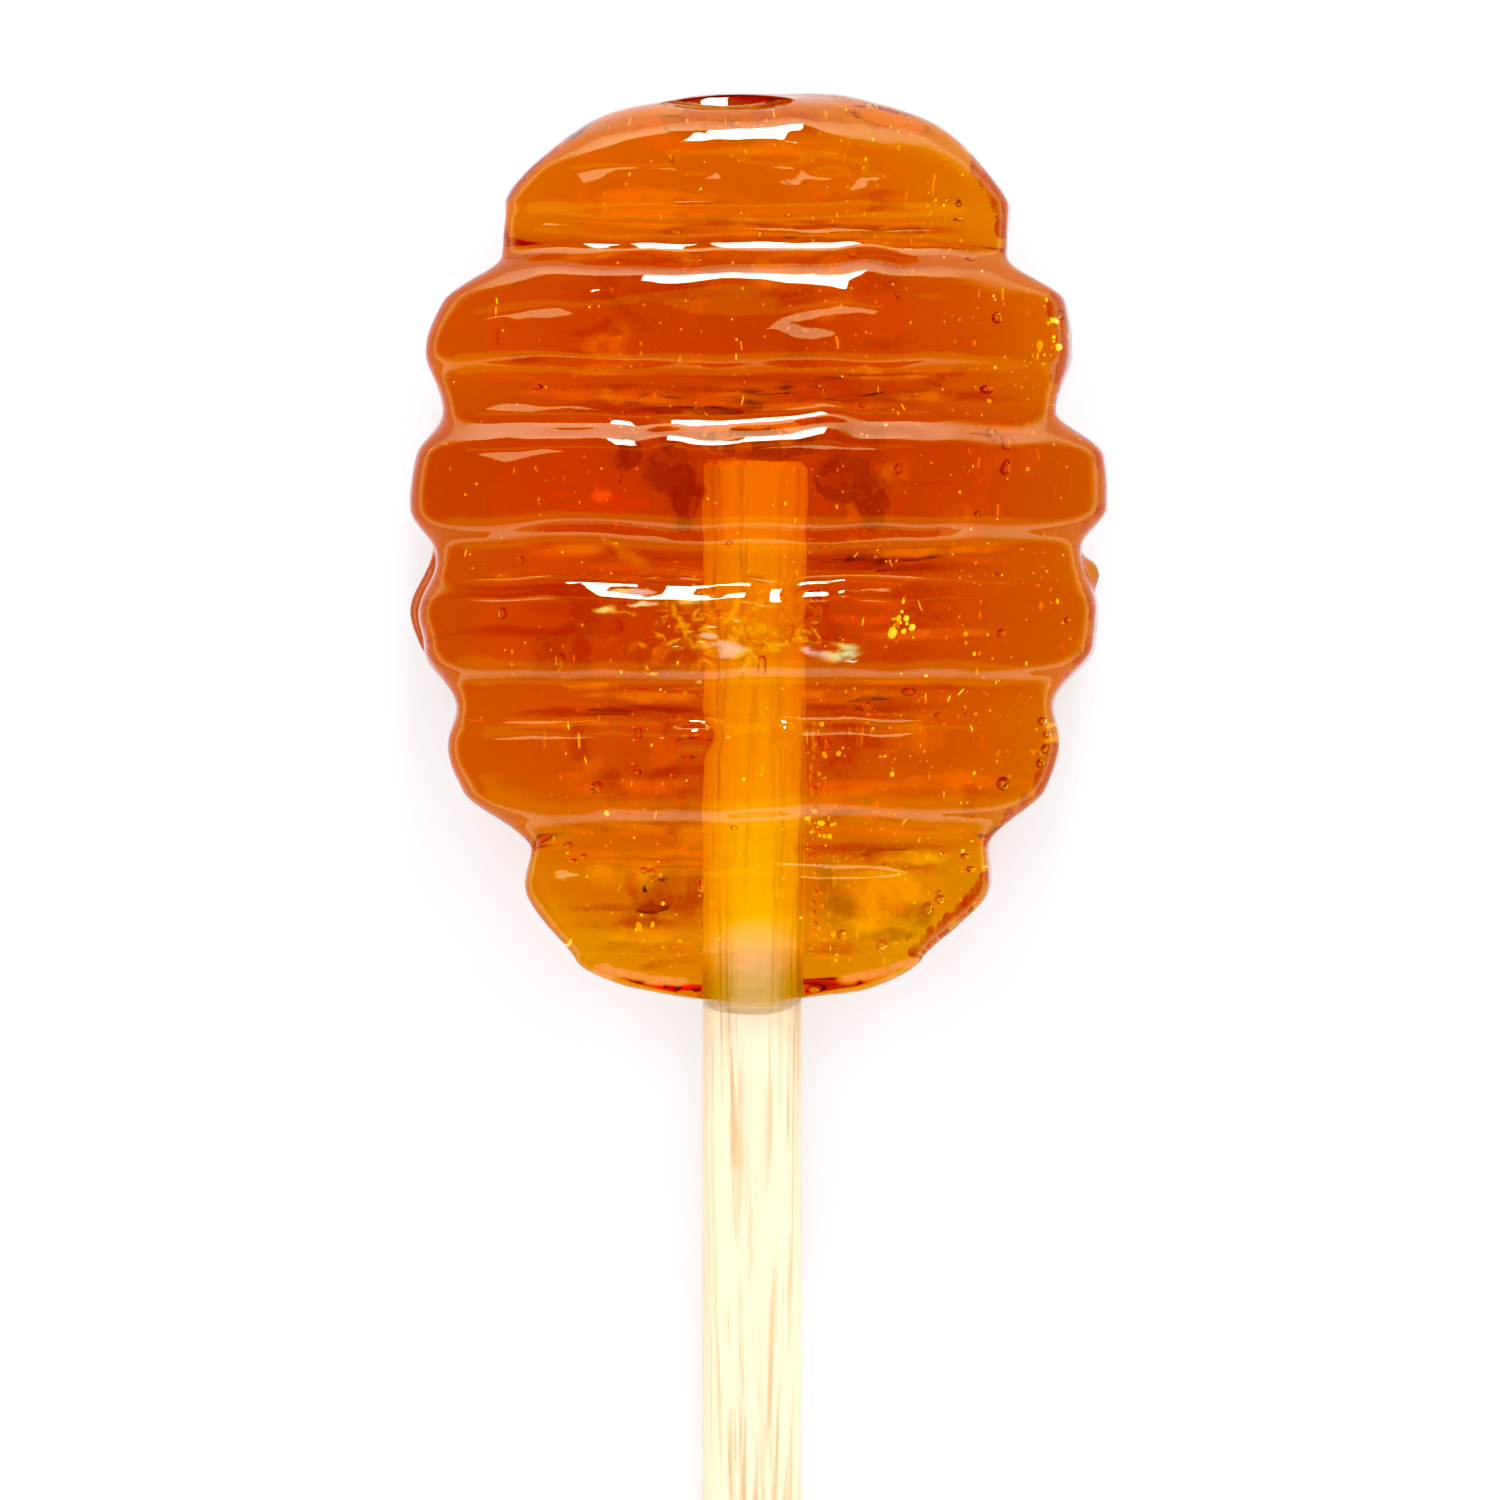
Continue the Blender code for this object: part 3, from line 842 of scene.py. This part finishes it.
def drawn_pieces(name, rows, lump_depth, lump_length, material, steps=4):
    """Flat uneven pieces inside the candy, each from a row of its drawing: across, down and height of its
    middle, its half-sizes in mm and, where it is turned, the degrees about the three axes."""
    full_rows = np.zeros((len(rows), 9))
    full_rows[:, :len(rows[0])] = rows
    middles, half_sizes, turns = np.hsplit(full_rows, 3)
    inputs = {"Ball steps": steps, "Lump depth": lump_depth * MM, "Lump length": lump_length * MM}
    return scattered_balls(name, middles, half_sizes, np.radians(turns), inputs, material)


# Crumpled gaps of air, where the candy has cracked round the end of the stick.
CRACKS = (
    (-2.9, 20.3, 4.2, 1.7, 0.42, 0.05, 12, 4),
    (-1.2, 21.4, 3.6, 1.9, 0.9, 0.08, 20, -6),
    (0.6, 21.2, 3.4, 1.0, 0.8, 0.07, 16, -14),
    (-3.4, 22.0, 2.8, 1.8, 0.6, 0.06, -10, -10),
    (1.9, 20.6, 3.0, 0.9, 0.6, 0.05, 18, 12),
)
# Thin flakes in those cracks that shine in pale rainbow colours.
FLAKES = (
    (-4.6, 20.0, 4.6, 1.7, 0.22, 0.03, 10, 3),
    (-2.3, 20.2, 4.5, 1.1, 0.26, 0.03, -8, -4),
    (-5.6, 20.5, 4.4, 0.8, 0.2, 0.03, 14, 6),
    (3.3, 22.15, 4.3, 1.3, 0.42, 0.03, 10, 8),
    (2.4, 22.0, 4.4, 0.7, 0.25, 0.03, -12, -6),
    (-1.0, 22.0, 4.3, 1.2, 0.45, 0.04, 8, 4),
    (-1.8, 21.5, 4.4, 0.6, 0.2, 0.03, -14, 8),
)
# Painted glints: the brightest slivers of those flakes, glowing white.
GLINTS = (
    (-4.3, 20.36, 4.7, 0.75, 0.07, 0.03),
    (-1.6, 21.15, 4.7, 0.3, 0.03, 0.03),
    (-3.0, 21.9, 4.6, 0.2, 0.04, 0.03),
    (-0.6, 20.9, 4.7, 0.25, 0.03, 0.03),
    (-2.0, 21.75, 4.6, 0.3, 0.03, 0.03),
    (3.9, 22.5, 4.4, 0.35, 0.03, 0.03),
)
# A small loose flake of red sugar.
RED_FLAKE = (
    (-5.95, 15.9, 4.2, 0.48, 0.42, 0.03, 4, 3),
)
# Painted shade beside the stick's end: dark patches where the lumpy back refracts the light away.
CLOUDS = (
    (-3.3, 15.1, 4.0, 1.2, 1.0, 0.03, 8, 12),
    (-2.7, 15.8, 3.4, 0.8, 1.1, 0.03, -6, 4),
    (-4.9, 14.6, 3.8, 0.7, 0.5, 0.03, 6, 8),
    (3.6, 15.4, 4.0, 1.5, 1.0, 0.03, 4, -10),
    (4.6, 15.9, 3.4, 0.9, 1.0, 0.03, -9, 6),
    (0.4, 14.1, 4.6, 2.8, 0.5, 0.03, 10, 3),
)
# Paler and browner clouds in the sixth rib.
PALE_CLOUDS = (
    (5.6, 31.6, 1.2, 2.6, 0.9, 0.03, 5, 4),
    (6.3, 30.4, 1.6, 1.9, 0.5, 0.03, -5, -7),
    (4.2, 32.6, 1.2, 1.6, 1.0, 0.03, 6, 5),
    (-5.2, 31.2, 1.2, 2.2, 0.6, 0.03, 4, -4),
    (-4.6, 33.3, 0.8, 1.8, 0.5, 0.03, -6, 5),
)
BROWN_CLOUDS = (
    (3.5, 32.4, 1.6, 1.0, 1.1, 0.03, 6, 5),
    (5.4, 33.4, 0.9, 1.6, 0.4, 0.03, 4, -6),
    (6.6, 32.6, 1.0, 0.8, 0.7, 0.03, -8, 5),
    (2.9, 31.2, 2.0, 0.6, 0.8, 0.03, 6, 5),
)
# A cloudy spot in the dome, which also hides the stick's mirror image.
DOME_CLOUDS = (
    (5.2, 1.25, 1.1, 1.3, 0.5, 0.03, 0, 4, -12),
    (5.9, 1.5, 0.9, 1.2, 0.5, 0.03, 0, 4, -16),
)
# The shade in the hollow at the top.
DIMPLE_SHADES = (
    (-1.1, 0.52, -0.2, 2.0, 0.3, 0.03),
    (-1.3, 0.5, -0.9, 1.5, 0.3, 0.03),
)
# Where the right-hand wall looks dark: from and to below the top, and how far in.
WALL_BANDS = (
    (3.2, 5.6, 0.5),
    (8.1, 11.4, 0.9),
    (14.6, 17.2, 0.25),
    (20.0, 23.2, 0.45),
    (26.0, 28.8, 0.4),
    (31.3, 34.2, 0.35),
)
WALL_COVER = 0.32  # of clear candy outside them


def wall_shades(material):
    """Ragged dark patches along the right-hand wall and in the left-hand flash, in place of the dark
    reflections in the candy's round rim."""
    random = np.random.default_rng(61)
    body = body_profile()
    thickness = 0.04
    rows = []
    for down in np.arange(18.8, 21.9, 0.35):
        reach = reach_at(body, (down - 0.5, down + 0.5), (LEFT,))[0].min()
        for height, inset in ((-0.9, 0.42), (-1.9, 0.55)):
            across = random.uniform(0.0, 0.05) + inset - reach
            rows.append((across, down + random.uniform(-0.1, 0.1), height,
                         0.24, 0.6, thickness, random.normal(0, 4), 0.0))
    for start, end, width in WALL_BANDS:
        for down in np.arange(start, end, 0.13):
            half_width, half_length = random.uniform(0.12, 0.3), random.uniform(0.2, 0.4)
            ends = (down - half_length, down, down + half_length)
            reach = reach_at(body, ends, (RIGHT,))[0].min()
            inset = WALL_COVER + half_width + random.uniform(0.0, 1.0) * max(width - 2 * half_width, 0.0)
            height = reach_at(body, down, (SIDE_FRONT,))[0] * random.uniform(0.15, 0.4)
            rows.append((reach - inset, down, height, half_width, half_length, thickness,
                         random.normal(0, 6), random.normal(0, 6)))
    rows = [row for row in rows if sunk(body, row)]
    return drawn_pieces("wall_shades", rows, 0.06, 0.6, material, steps=3)


def foot_painted_reflection(material):
    """Pale glowing sheets along the foot's lower edge: a painted reflection, the pale film the skin shows
    there.
    """
    random = np.random.default_rng(91)
    body = body_profile()
    foot = body[body[:, DOWN] > FOOT_START]
    rows = []
    for across in np.arange(-6.5, 6.6, 0.22):
        if abs(across) < STICK_RADIUS:
            continue
        reach = foot[::-1, RIGHT if across > 0 else LEFT]
        edge = np.interp(abs(across), reach, foot[::-1, DOWN])
        down = edge - random.uniform(0.28, 0.4)
        lean = math.copysign(8.0, across)
        for height in np.arange(2.4, 0.0, -0.1):
            row = (across, down, height, 0.42, 0.24, 0.03, random.normal(0, 4), random.normal(0, 4), lean)
            if sunk(foot, row, 0.12):
                rows.append(row)
                break
    return drawn_pieces("foot_painted_reflection", rows, 0.08, 0.6, material, steps=3)


def crumple(material):
    """Many small torn flakes round the cracks, glowing pale and gold: painted light for what the torn
    surfaces throw back.
    """
    random = np.random.default_rng(71)
    rows = []
    for _ in range(70):
        rows.append((random.normal(-0.8, 1.9), random.normal(21.4, 0.65), random.uniform(3.4, 4.4),
                     random.uniform(0.15, 0.7), random.uniform(0.05, 0.2), 0.03,
                     random.normal(0, 25), random.normal(0, 12), random.normal(0, 35)))
    return drawn_pieces("crack_crumple", rows, 0.2, 0.4, material, steps=3)


def sugar_streaks(name, seed, count, material):
    """Soft lens-shaped streaks across the head, most of them near the grooves: painted light and shade in
    place of what the grooves refract.
    """
    random = np.random.default_rng(seed)
    grooves = [(row[0] + row[3]) / 2 for row in GROOVES]
    body = body_profile()
    rows = []
    for across, down, height in scattered_points(count, seed, margin=1.2):
        if 4.0 < down and random.random() < 0.6:
            down = min(grooves, key=lambda groove: abs(groove - down)) + random.normal(0.0, 0.6)
        rows.append((across * 0.75, down, height * 0.6,
                     random.uniform(1.2, 4.2), random.uniform(0.15, 0.5), 0.04,
                     random.normal(0, 8), random.normal(0, 6)))
    rows = [row for row in rows if sunk(body, row)]
    return drawn_pieces(name, rows, 0.2, 1.2, material, steps=3)


def marbling(name, seed, count, material):
    """Faint clouds of darker or lighter sugar all over the head, save in the dome."""
    random = np.random.default_rng(seed)
    rows = []
    for across, down, height in scattered_points(count, seed, margin=1.2):
        rows.append((across * 0.85, down, height * 0.6,
                     random.uniform(0.6, 2.0), random.uniform(0.3, 0.8), 0.04,
                     random.normal(0, 8), random.normal(0, 6), random.normal(0, 25)))
    rows = [row for row in rows if row[1] > DOME_END]
    return drawn_pieces(name, rows, 0.3, 0.9, material, steps=3)


# ---- scene ----

def add_floor():
    """A white table that glows by itself, most of all towards the main lamp."""
    material, graph = material_graph("white_table")
    from_lamp = graph.object_place().vector_math("DISTANCE", (0, 0.55, 0), output=1)
    covered(material, graph, {
        "Base Color": (0.35, 0.35, 0.4, 1), "Roughness": 0.9, "Specular IOR Level": 0.0,
        "Emission Color": (1, 1, 1, 1), "Emission Strength": graph.smooth(from_lamp, 0.1, 0.5, 3.0, 0.6)})
    size = 3.0
    mesh = bpy.data.meshes.new("table_top")
    drop = -0.02 * MM
    mesh.from_pydata([(-size, -size, drop), (size, -size, drop), (size, size, drop), (-size, size, drop)],
                     [], [(0, 1, 2, 3)])
    mesh.materials.append(material)
    floor = linked("table_top", mesh)


STUDIO_WHITE = (1.0, 0.98, 0.7)  # of all that the candy reflects


def add_world():
    """The bright room that the candy reflects: its walls, a brighter side and a strip of ceiling."""
    world = bpy.data.worlds.new("studio")
    world.use_nodes = True
    world.node_tree.nodes.clear()
    graph = Graph(world.node_tree)
    x, y, height = graph.node("ShaderNodeTexCoord").output("Generated").axes()
    # 1 towards the main lamp and -1 away from it; the height is 0 at the horizon and 1 overhead.
    facing_lamp = y / (x * x + y * y)**0.5
    near_lamp = graph.smooth(facing_lamp, 0.9, 0.985)
    glow = graph.smooth(height, 0.0, 0.3, 3.5, 6.0)
    under_lamp = glow * graph.smooth(height, 0.3, 0.34, 1.0, 0.0)
    walls = graph.smooth(height, 0.05, 0.5, 3.2, 0.0)
    rear = graph.smooth(facing_lamp, -0.9, -0.8, 1.0, 0.0) * graph.smooth(height, 0.6, 0.85, 1.3, 0.0)
    rear = rear * graph.smooth(height, 0.3, 0.5)
    ceiling_edge = graph.smooth(y, 0.48, 0.5) * graph.smooth(y, 0.6, 0.64, 1.0, 0.0)
    ceiling = ceiling_edge * graph.smooth(abs(x), 0.35, 0.4, 1.0, 0.0) * (height > 0.5) * 0.9
    brightness = near_lamp * under_lamp + (1 - near_lamp) * walls + ceiling + rear
    room = graph.node("ShaderNodeBackground", inputs={
        "Color": STUDIO_WHITE + (1.0,), "Strength": brightness})
    graph.close("ShaderNodeOutputWorld", {"Surface": room})
    bpy.context.scene.world = world


# Area lights that look at the head: azimuth from +Y and angle off the upright in degrees, distance, width
# and height in m, radiance, colour, and whether the candy reflects them.
SOFTBOXES = (
    ("main_softbox", 5.5, 62.5, 0.6, 0.12, 0.2, 30.0, (1, 1, 1), True),
    ("left_softbox", -30, 25, 0.6, 0.1, 0.1, 4.5, STUDIO_WHITE, True),
    ("right_softbox", 30, 25, 0.6, 0.1, 0.1, 4.5, STUDIO_WHITE, True),
    ("fill", 0.0, 0.0, 0.7, 0.9, 0.9, 2.4, (1, 1, 1), False),
)


def add_softbox(name, azimuth, zenith, distance, width, height, radiance, colour, reflected):
    azimuth, zenith = math.radians(azimuth), math.radians(zenith)
    light = bpy.data.lights.new(name, "AREA")
    light.shape = "RECTANGLE"
    light.size, light.size_y = width, height
    light.energy = radiance * width * height * math.pi
    light.color = colour
    made = linked(name, light)
    outwards = math.sin(zenith)
    direction = Vector((outwards * math.sin(azimuth), outwards * math.cos(azimuth), math.cos(zenith)))
    made.location = direction * distance
    made.rotation_mode = "QUATERNION"
    made.rotation_quaternion = direction.to_track_quat("Z", "Y")
    made.visible_camera = False
    made.visible_glossy = reflected


PHOTO_SIDE = 1500  # pixels
PIXEL = 0.04 * MM
PHOTO_HEAD_TOP = 95.0  # row of the head's top in the photo
PHOTO_AXIS = 752.0  # column of the stick's axis
CAMERA_HEIGHT = 0.3  # m above the head's top
SENSOR_WIDTH = 36.0
BLUE_TRACE = 0.05  # blue up to this level is shown as none


def add_camera():
    data = bpy.data.cameras.new("camera")
    data.sensor_width = SENSOR_WIDTH
    data.lens = SENSOR_WIDTH * CAMERA_HEIGHT / (PHOTO_SIDE * PIXEL)
    data.clip_start, data.clip_end = 0.01, 20.0
    camera = linked("camera", data)
    middle = PHOTO_SIDE / 2
    camera.location = ((middle - PHOTO_AXIS) * PIXEL, HEAD_TOP.y - (middle - PHOTO_HEAD_TOP) * PIXEL,
                       HEAD_TOP.z + CAMERA_HEIGHT)
    bpy.context.scene.camera = camera


def set_colour_grade():
    """Plain display colours, without the last trace of blue, so that the amber stays fully saturated."""
    view = bpy.context.scene.view_settings
    view.view_transform = "Standard"
    view.use_curve_mapping = True
    _, _, blue, _ = view.curve_mapping.curves
    for place, value in ((BLUE_TRACE, 0.0), (2 * BLUE_TRACE, BLUE_TRACE * 1.05)):
        blue.points.new(place, value)
    for point in blue.points:
        point.handle_type = "VECTOR"
    view.curve_mapping.update()


def crack_pieces():
    """The cracked candy round the stick's end, and a loose flake."""
    glint = tinted_sugar("glint", (1, 1, 1), 1.0, light=1.0)
    red_sugar = tinted_sugar("red_sugar", (1, 0.1, 0), 1.0, grain=0.3)
    torn_sugar = tinted_sugar("torn_sugar", (1.0, 0.55, 0.2), 0.5, grain=0.2, edge=0.1)
    return [
        drawn_pieces("cracks", CRACKS, 0.22, 0.9, bubble_air()),
        drawn_pieces("crack_flakes", FLAKES, 0.12, 0.5, crack_sheen()),
        drawn_pieces("crack_glints", GLINTS, 0.08, 0.3, glint),
        drawn_pieces("red_flake", RED_FLAKE, 0.25, 0.3, red_sugar),
        crumple(torn_sugar),
    ]


def cloud_pieces():
    """Clouds, painted shades and a painted reflection that have their own places in the candy."""
    # Dark patches beside the stick's end: painted shade where the lumpy back refracts the light away.
    painted_back_shade = tinted_sugar("painted_back_shade", (0.27, 0.01, 0), 0.9, grain=0.7, edge=0.04, rim=0.7)
    pale_sugar = tinted_sugar("pale_sugar", (1.0, 0.5, 0.02), 0.55)
    brown_sugar = tinted_sugar("brown_sugar", (0.36, 0.13, 0.01), 0.6, grain=0.6)
    dome_cloud = tinted_sugar("dome_cloud", (0.78, 0.19, 0.0), 0.95, grain=2.0, rim=0.5)
    dimple_shade = tinted_sugar("dimple_shade", (0.3, 0.03, 0), 0.9)
    wall_shade = tinted_sugar("wall_shade", (0.45, 0.03, 0.0), 1.0, grain=0.7, edge=0.1, rim=0.7)
    # Pale glow along the foot's lower edge: a painted reflection.
    painted_reflection = tinted_sugar("foot_painted_reflection", (0.95, 0.38, 0.2), 0.7, edge=0.5)
    return [
        drawn_pieces("painted_shade_patches", CLOUDS, 0.4, 1.3, painted_back_shade),
        drawn_pieces("pale_clouds", PALE_CLOUDS, 0.3, 1.3, pale_sugar),
        drawn_pieces("brown_clouds", BROWN_CLOUDS, 0.3, 0.9, brown_sugar),
        drawn_pieces("dome_clouds", DOME_CLOUDS, 0.1, 0.9, dome_cloud),
        drawn_pieces("dimple_shades", DIMPLE_SHADES, 0.05, 0.5, dimple_shade),
        wall_shades(wall_shade),
        foot_painted_reflection(painted_reflection),
    ]


def marbled_pieces():
    """Streaks of painted light and shade near the grooves, and faint clouds all over the head."""
    # The dark streaks are painted shade and the light streaks painted light.
    dark_streak = tinted_sugar("dark_streak", (0.47, 0.05, 0.0), 0.4)
    dark_marble = tinted_sugar("dark_marble", (0.45, 0.05, 0.0), 0.35, grain=0.7, edge=0.12)
    light_marble = tinted_sugar("light_marble", (0.95, 0.38, 0.03), 0.3, grain=0.7, edge=0.12)
    light_streak = tinted_sugar("light_streak", (0.95, 0.36, 0.02), 0.5)
    return [
        sugar_streaks("dark_streaks", seed=41, count=90, material=dark_streak),
        marbling("dark_marbling", seed=81, count=60, material=dark_marble),
        marbling("light_marbling", seed=82, count=50, material=light_marble),
        sugar_streaks("light_streaks", seed=42, count=80, material=light_streak),
    ]


def main():
    add_camera()
    add_world()
    for softbox in SOFTBOXES:
        add_softbox(*softbox)
    add_floor()
    pieces = [cast_head(amber_candy()), light_specks(), air_bubbles()]
    pieces += crack_pieces() + cloud_pieces() + marbled_pieces()
    for piece in pieces:
        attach(piece, BODY)
        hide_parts("candy")
    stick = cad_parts["stick"]
    stick.data.materials.clear()
    stick.data.materials.append(pale_wood())
    set_colour_grade()
    bpy.context.scene.cycles.max_bounces = 24
    bpy.context.scene.cycles.transmission_bounces = 24


main()
